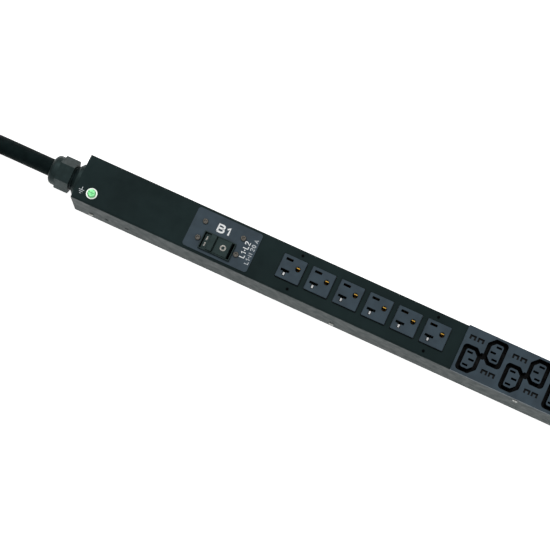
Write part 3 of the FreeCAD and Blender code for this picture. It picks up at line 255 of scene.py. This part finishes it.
# wire insulation, liner and the plug's face: extruded or pressed sheet with a soft waxy gloss
def softPlastic(name, colour, light, roughness, patch):
    material, tree, shader, coords = newMaterial(name, colour, {"Roughness": roughness, "IOR": 1.5})
    mottle(tree, coords, shader, colour, light, patch, 5.0)
    unevenGloss(tree, coords, shader, roughness * 0.85, roughness * 1.15, patch * 0.5)
    grain = addNode(tree, "ShaderNodeTexNoise", {"Scale": perMetre(0.8), "Detail": 3.0}, {"Vector": coords})
    grainBump(tree, shader, grain.outputs["Fac"], 0.015, 0.5)
    return material


finishes = {
    "powder": powderCoat(),
    "slate": slatePolycarbonate(),
    # the next two slate finishes carry painted shade: near black below the face, in the C13 socket wells and
    # on the outlets' raised flanks
    "slatePaintedWellShade": slatePolycarbonate("slateWithPaintedWellShade", "c13_module_1", 1.2),
    "slatePaintedFlankShade": slatePolycarbonate("slateWithPaintedFlankShade", "outlet_1", -1.0),
    "nylon": blackNylon(),
    "phenolic": breakerPhenolic(),
    "rubber": cordRubber(),
    "strap": strapFabric(),
    "zinc": platedMetal("zincPlatedSteel", "#9B9C99", "#B4B5B1", 0.34),
    "blackScrew": platedMetal("blackZincScrewSteel", "#474542", "#65625C", 0.42, 1.2),
    # the outlet rivet heads are painted near black as painted shade, so they read as dark as open rivet holes
    "rivet": platedMetal("rivetSteelInPaintedHoleShade", "#060708", "#0C0D0E", 0.5, 1.2),
    # the outlet carrier is darkened from plain zinc as painted shade, so the gap round each outlet reads dark
    "carrier": platedMetal("carrierSteelInPaintedGapShade", "#3A3C3E", "#4C4F51", 0.5, 4.0),
    "greenScrew": platedMetal("greenDyedScrewSteel", "#63C47C", "#9CE8A8", 0.34, 2.4),
    "washer": platedMetal("brightWasherSteel", "#D7DED6", "#EEF3EC", 0.3, 2.0),
    "brass": platedMetal("stampedBrass", "#B98A34", "#E0B75C", 0.28, 1.6, 0.5),
    # the C13 contact bars are brass painted near black as painted shade, so their slots read black
    "slotShadeBar": platedMetal("brassBarInPaintedSlotShade", "#120F0A", "#1C1811", 0.5, 1.6, 0.5),
    "nickel": platedMetal("nickelPlatedContact", "#AEB0B1", "#D2D4D4", 0.3, 1.6, 0.5),
    "copper": platedMetal("tinnedCopper", "#A9683F", "#C98A5E", 0.35, 1.6, 0.5),
    "whiteInk": printedInk("whitePrintedInk", "#E4E8E8", "#F4F6F6"),
    "greyInk": printedInk("greyPrintedInk", "#B4BABE", "#CED3D6"),
    "wornInk": printedInk("wornPrintedInk", "#6E6C67", "#D2CEC6"),
    "wire": softPlastic("blackWireInsulation", "#141416", "#202124", 0.35, 4),
    "greenWire": softPlastic("greenWireInsulation", "#1E5B33", "#27703F", 0.35, 4),
    "liner": softPlastic("pressedInsulatingFibre", "#B8B08F", "#C9C2A4", 0.7, 6),
    "paleNylon": softPlastic("paleMouldedNylon", "#C9CAC4", "#DADBD6", 0.4, 5),
}
print("finishes made:", len(finishes))

carriedOver = {
    "powder": "housing_channel back_cover cord_end_plate far_end_plate",
    "slate": "breaker_plate",
    "slatePaintedFlankShade": "outlet_1 outlet_2 outlet_3 outlet_4 outlet_5 outlet_6",
    "slatePaintedWellShade": "c13_module_1 c13_module_2",
    "nylon": "gland_body gland_cap gland_locknut outlet_back_plate c13_back_1 c13_back_2 plug_body plug_clamp",
    "phenolic": "breaker_case breaker_base breaker_rocker breaker_trip_shaft",
    "rubber": "gland_seal cord_jacket_end",
    "zinc": "side_screws module_screws side_inserts rear_inserts ground_nut breaker_rocker_pin plug_screws",
    "carrier": "outlet_carrier",
    "rivet": "outlet_rivets",
    "washer": "ground_washer",
    "blackScrew": "breaker_plate_screws",
    "greenScrew": "ground_screw",
    "brass": "ground_contacts_520 line_contacts_520 plug_blades",
    "slotShadeBar": "c13_line_one_bars c13_line_two_bars c13_ground_bars",
    "nickel": "neutral_contacts_520",
    "copper": "breaker_line_terminals breaker_load_terminals breaker_contact_arms",
    "wire": "cord_cores load_wires",
    "greenWire": "ground_lead",
    "liner": "insulating_liner",
    "paleNylon": "plug_face",
}
for finish, names in carriedOver.items():
    for name in names.split():
        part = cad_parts[name]
        part.data.materials.clear()
        part.data.materials.append(finishes[finish])

# the cord: out of the gland, down to the floor, nearly four turns of a coil, and up on to it with the plug
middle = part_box("housing_channel")[0].x / mm  # the cord's wall stands at this x
cordSettings = {
    "diameter": 19.4, "length": 3050, "coilMiddle": (-205, -109.6), "stepAngle": 20, "turns": 4,
    "lanes": [(109.6, 9.9), (90.0, 9.9), (90.0, 29.5), (109.6, 29.5)],  # radius and height of each turn
    "changeAngle": 60, "tailAngle": 100, "sideStep": 7.2,  # a turn changes lane late, and swings in to pass
    "start": [(-10, 0, 25), (-60, 0, 25), (-110, 0.3, 23.2), (-158, 0.3, 14.6)],
    "tail": [(-97.1, -128.6, 30.5), (-97.1, -90.6, 35), (-110.1, -54.8, 41), (-138.5, -24.5, 46.5),
             (-175.5, -6.7, 49.2), (-216.2, -3.2, 49.6), (-255.2, -15.1, 49.6), (-287, -40.8, 49.4),
             (-306.8, -76.5, 49.6), (-311.7, -117.1, 51), (-301.2, -156.5, 54.6), (-276.6, -189.1, 59.8),
             (-242, -209.6, 65), (-208, -216, 68.2), (-164, -217, 68.2)],
}


def coilPoints():
    s = cordSettings
    step = math.radians(s["stepAngle"])
    outward = 1 / (0.75 + 0.25 * math.cos(step))  # the spline runs inside its points by this much
    count = int(360 / s["stepAngle"])
    points = []
    for turn in range(s["turns"]):
        radius, height = s["lanes"][turn]
        last = turn == s["turns"] - 1
        for i in range(count):
            travelled = i * s["stepAngle"]
            share = max(0.0, (travelled - 360 + s["changeAngle"]) / s["changeAngle"])
            if last and travelled >= 360 - s["tailAngle"]:
                break
            share = share * share * (3 - 2 * share)
            r, z = radius, height
            if not last:
                nextRadius, nextHeight = s["lanes"][turn + 1]
                r += (nextRadius - radius) * share
                z += (nextHeight - height) * share
                if nextHeight > height:
                    r -= s["sideStep"] * math.sin(math.pi * share)
            angle = math.radians(90 + travelled)
            points.append((s["coilMiddle"][0] + r * outward * math.cos(angle),
                           s["coilMiddle"][1] + r * outward * math.sin(angle), z))
    return points


cordPoints = cordSettings["start"] + coilPoints() + cordSettings["tail"]
cordCurve = bpy.data.curves.new("powerCord", "CURVE")
cordCurve.dimensions = "3D"
cordCurve.bevel_depth = cordSettings["diameter"] / 2 * mm
cordCurve.bevel_resolution = 7
cordCurve.resolution_u = 8
cordCurve.use_fill_caps = True
spline = cordCurve.splines.new("NURBS")
spline.points.add(len(cordPoints) - 1)
for point, (x, y, z) in zip(spline.points, cordPoints):
    point.co = ((x + middle) * mm, y * mm, z * mm, 1.0)
spline.order_u = 3
spline.use_endpoint_u = True
powerCord = bpy.data.objects.new("powerCord", cordCurve)
scene.collection.objects.link(powerCord)
cordCurve.materials.append(finishes["rubber"])
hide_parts("power_cord", "cord_coil", "cord_tail")
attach(powerCord, "housing")
print("cord laid with", len(cordPoints), "points")


def meshObject(name, bm, finish, body, smooth=True):
    data = bpy.data.meshes.new(name)
    bmesh.ops.recalc_face_normals(bm, faces=bm.faces)
    bm.to_mesh(data)
    bm.free()
    for face in data.polygons:
        face.use_smooth = smooth
    data.materials.append(finishes[finish])
    piece = bpy.data.objects.new(name, data)
    scene.collection.objects.link(piece)
    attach(piece, body)
    return piece


# hook-and-loop straps round the coil's bundle, each one turn with its end pressed back on itself
tieSettings = {"angles": (208, 318), "width": 16, "thick": 1.6, "room": 0.5, "corner": 9.0, "lap": 11,
               "rest": 0.03}


def bundleStrap(name, angle):
    s, c = tieSettings, cordSettings
    halfCord = c["diameter"] / 2
    low, high = 90.0 - halfCord - s["room"], 109.6 + halfCord + s["room"]
    bottom, top = 0.2, 29.5 + halfCord + s["room"]
    bend = s["corner"]
    ring = []
    for x, z, begin in ((high - bend, top - bend, 0), (low + bend, top - bend, 90),
                        (low + bend, bottom + bend, 180), (high - bend, bottom + bend, 270)):
        for i in range(9):
            a = math.radians(begin + i * 90 / 8)
            ring.append((x, z, math.cos(a), math.sin(a), 0.0))
    ring += [(x, z, nx, nz, s["thick"] + 0.1) for x, z, nx, nz, _ in ring[:s["lap"]]]
    turn, half = math.radians(angle), s["width"] / 2
    bm = bmesh.new()
    rails = []
    for across, thick in ((-half, 0), (half, 0), (half, s["thick"]), (-half, s["thick"])):
        rail = []
        for x, z, nx, nz, lift in ring:
            r = x + nx * (bend + lift + thick)
            h = max(s["rest"], z + nz * (bend + lift + thick))  # pressed thin where the coil stands on it
            px = c["coilMiddle"][0] + r * math.cos(turn) - across * math.sin(turn)
            py = c["coilMiddle"][1] + r * math.sin(turn) + across * math.cos(turn)
            rail.append(bm.verts.new(((px + middle) * mm, py * mm, h * mm)))
        rails.append(rail)
    for a, b in zip(rails, rails[1:] + rails[:1]):
        for i in range(len(ring) - 1):
            bm.faces.new((a[i], a[i + 1], b[i + 1], b[i]))
    for end in (0, -1):
        bm.faces.new([rail[end] for rail in rails])
    return meshObject(name, bm, "strap", "housing", smooth=False)


tieNames = ("coilStrapOne", "coilStrapTwo")
ties = [bundleStrap(name, angle) for name, angle in zip(tieNames, tieSettings["angles"])]


# printed marks: pen strokes in a cell one unit tall, laid as thin ink on the surface below them
penStrokes = {
    "B": [[(0, 0), (0, 1), (0.5, 1), (0.68, 0.92), (0.72, 0.76), (0.66, 0.6), (0.5, 0.54), (0, 0.54)],
          [(0.5, 0.54), (0.72, 0.44), (0.78, 0.26), (0.7, 0.08), (0.52, 0), (0, 0)]],
    "1": [[(0, 0.72), (0.3, 1), (0.3, 0)]],
    "L": [[(0, 1), (0, 0), (0.6, 0)]],
    "2": [[(0, 0.76), (0.1, 0.94), (0.32, 1), (0.56, 0.92), (0.62, 0.72), (0.5, 0.52), (0, 0), (0.66, 0)]],
    "N": [[(0, 0), (0, 1), (0.64, 0), (0.64, 1)]],
    "0": [[(0.3, 0), (0.08, 0.14), (0, 0.5), (0.08, 0.86), (0.3, 1), (0.52, 0.86), (0.6, 0.5), (0.52, 0.14),
           (0.3, 0)]],
    "A": [[(0, 0), (0.34, 1), (0.68, 0)], [(0.12, 0.34), (0.56, 0.34)]],
    "-": [[(0.02, 0.46), (0.34, 0.46)]],
    " ": [[(0.1, 0.5)]],
}


letterGap = 0.34  # between letters, as a share of their height


def layOut(words, centre, size, turn, pen):
    lines, x = [], 0.0
    for letter in words:
        shape = penStrokes[letter]
        lines += [[(x + px, py) for px, py in line] for line in shape if len(line) > 1]
        x += max(px for line in shape for px, _ in line) + letterGap
    wordLength = x - letterGap
    wide, tall = (size[0] - pen) / wordLength, size[1] - pen
    c, d = math.cos(math.radians(turn)), math.sin(math.radians(turn))
    placed = []
    for line in lines:
        local = [((px - wordLength / 2) * wide, (py - 0.5) * tall) for px, py in line]
        placed.append([(centre[0] + u * c - v * d, centre[1] + u * d + v * c) for u, v in local])
    return placed


def heightOn(surface, x, y):
    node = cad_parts[surface]
    inward = node.matrix_world.inverted()
    hit, place, _, _ = node.ray_cast(inward @ Vector((x, y, 0.2)), inward.to_3x3() @ Vector((0, 0, -1)))
    return (node.matrix_world @ place).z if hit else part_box(surface)[1].z


def inkMarks(name, lines, pen, finish, body, surface, film=0.04):
    data = bpy.data.curves.new(name, "CURVE")
    data.dimensions = "3D"
    data.bevel_depth = pen / 2 * mm
    data.bevel_resolution = 2
    data.use_fill_caps = True
    for line in lines:
        stroke = data.splines.new("POLY")
        stroke.points.add(len(line) - 1)
        for point, (x, y) in zip(stroke.points, line):
            point.co = ((x + middle) * mm, y * mm, 0, 1)
    holder = bpy.data.objects.new(name + "Source", data)
    scene.collection.objects.link(holder)
    solid = bpy.data.meshes.new_from_object(holder.evaluated_get(bpy.context.evaluated_depsgraph_get()))
    bpy.data.objects.remove(holder)
    bm = bmesh.new()
    bm.from_mesh(solid)
    for v in bm.verts:
        v.co.z = heightOn(surface, v.co.x, v.co.y) + (film if v.co.z > -1e-7 else -film / 2) * mm
    return meshObject(name, bm, finish, body, smooth=False)


labelSettings = {
    "breakerNumber": ("B1", (161.15, 9.8), (14.5, 9.8), 0, 2.0, "whiteInk"),
    "breakerPhases": ("L1-L2", (190.05, -0.2), (18.6, 6.3), 90, 1.0, "whiteInk"),
    "breakerRating": ("L1-N 20 A", (197.3, 0.2), (28.5, 5.0), 90, 0.85, "greyInk"),
}
for name, (words, centre, size, turn, pen, finish) in labelSettings.items():
    inkMarks(name, layOut(words, centre, size, turn, pen), pen, finish, "housing", "breaker_plate")

# the earth mark by the green screw, and the rubbed on and off marks of the two rocker leaves
earthSettings = {"x": 7.3, "stem": (-10.3, -13.8), "bars": [(3.0, -13.8), (2.0, -15.7), (1.0, -17.5)],
                 "pen": 0.7}
e = earthSettings
earthLines = [[(e["x"], y) for y in e["stem"]]]
earthLines += [[(e["x"] - half, y), (e["x"] + half, y)] for half, y in e["bars"]]
inkMarks("earthMark", earthLines, e["pen"], "greyInk", "housing", "housing_channel")

rockerMarks = {
    "rockerOnMark": [[(149.2, -14.6), (149.2, -10.4)], [(149.2, -7.8), (149.2, -3.6)]],
    "rockerOffMark": [[(169 + 2.6 * math.cos(math.radians(a)), -9 + 2.6 * math.sin(math.radians(a)))
                       for a in range(0, 361, 30)]],
}
for name, lines in rockerMarks.items():
    inkMarks(name, lines, 1.5, "wornInk", "breaker_rocker", "breaker_rocker", 0.03)
print("labels printed")


# pale plain floor that glows a little, a soft key from the back left and a sky brightest overhead
floorSettings = {"colour": "#F4F4F3", "half": 9.0, "glow": 0.78}
bm = bmesh.new()
h = floorSettings["half"]
bm.faces.new([bm.verts.new((x, y, -0.0004)) for x, y in ((-h, -h), (h, -h), (h, h), (-h, h))])
floorData = bpy.data.meshes.new("floor")
bm.to_mesh(floorData)
bm.free()
floor = bpy.data.objects.new("floor", floorData)
scene.collection.objects.link(floor)
floorMaterial, _, _, _ = newMaterial("litProductTable", floorSettings["colour"], {
    "Roughness": 0.9, "Specular IOR Level": 0.1, "Emission Color": (1.0, 1.0, 1.0, 1.0),
    "Emission Strength": floorSettings["glow"]})
floorData.materials.append(floorMaterial)

lightSettings = {
    "keySun": {"energy": 0.9, "angle": 20, "from": (-0.6, 0.8, 1.3)},
    "fillSun": {"energy": 0.15, "angle": 60, "from": (0.2, -1.0, 0.7)},
    "horizon": 0.25, "zenith": 0.85,
}
for name in ("keySun", "fillSun"):
    s = lightSettings[name]
    lamp = bpy.data.lights.new(name, "SUN")
    lamp.energy, lamp.angle = s["energy"], math.radians(s["angle"])
    holder = bpy.data.objects.new(name, lamp)
    holder.rotation_euler = Vector(s["from"]).to_track_quat("Z", "Y").to_euler()
    scene.collection.objects.link(holder)

world = bpy.data.worlds.new("studio")
scene.world = world
world.use_nodes = True
tree = world.node_tree
direction = addNode(tree, "ShaderNodeTexCoord").outputs["Generated"]
height = addNode(tree, "ShaderNodeSeparateXYZ", {}, {0: direction}).outputs["Z"]
fade = addNode(tree, "ShaderNodeMapRange", {
    "From Min": 0.3, "From Max": 0.92, "To Min": lightSettings["horizon"],
                                            "To Max": lightSettings["zenith"]}, {"Value": height})
tree.links.new(fade.outputs["Result"], tree.nodes["Background"].inputs["Strength"])
tree.nodes["Background"].inputs["Color"].default_value = (1.0, 1.0, 1.0, 1.0)
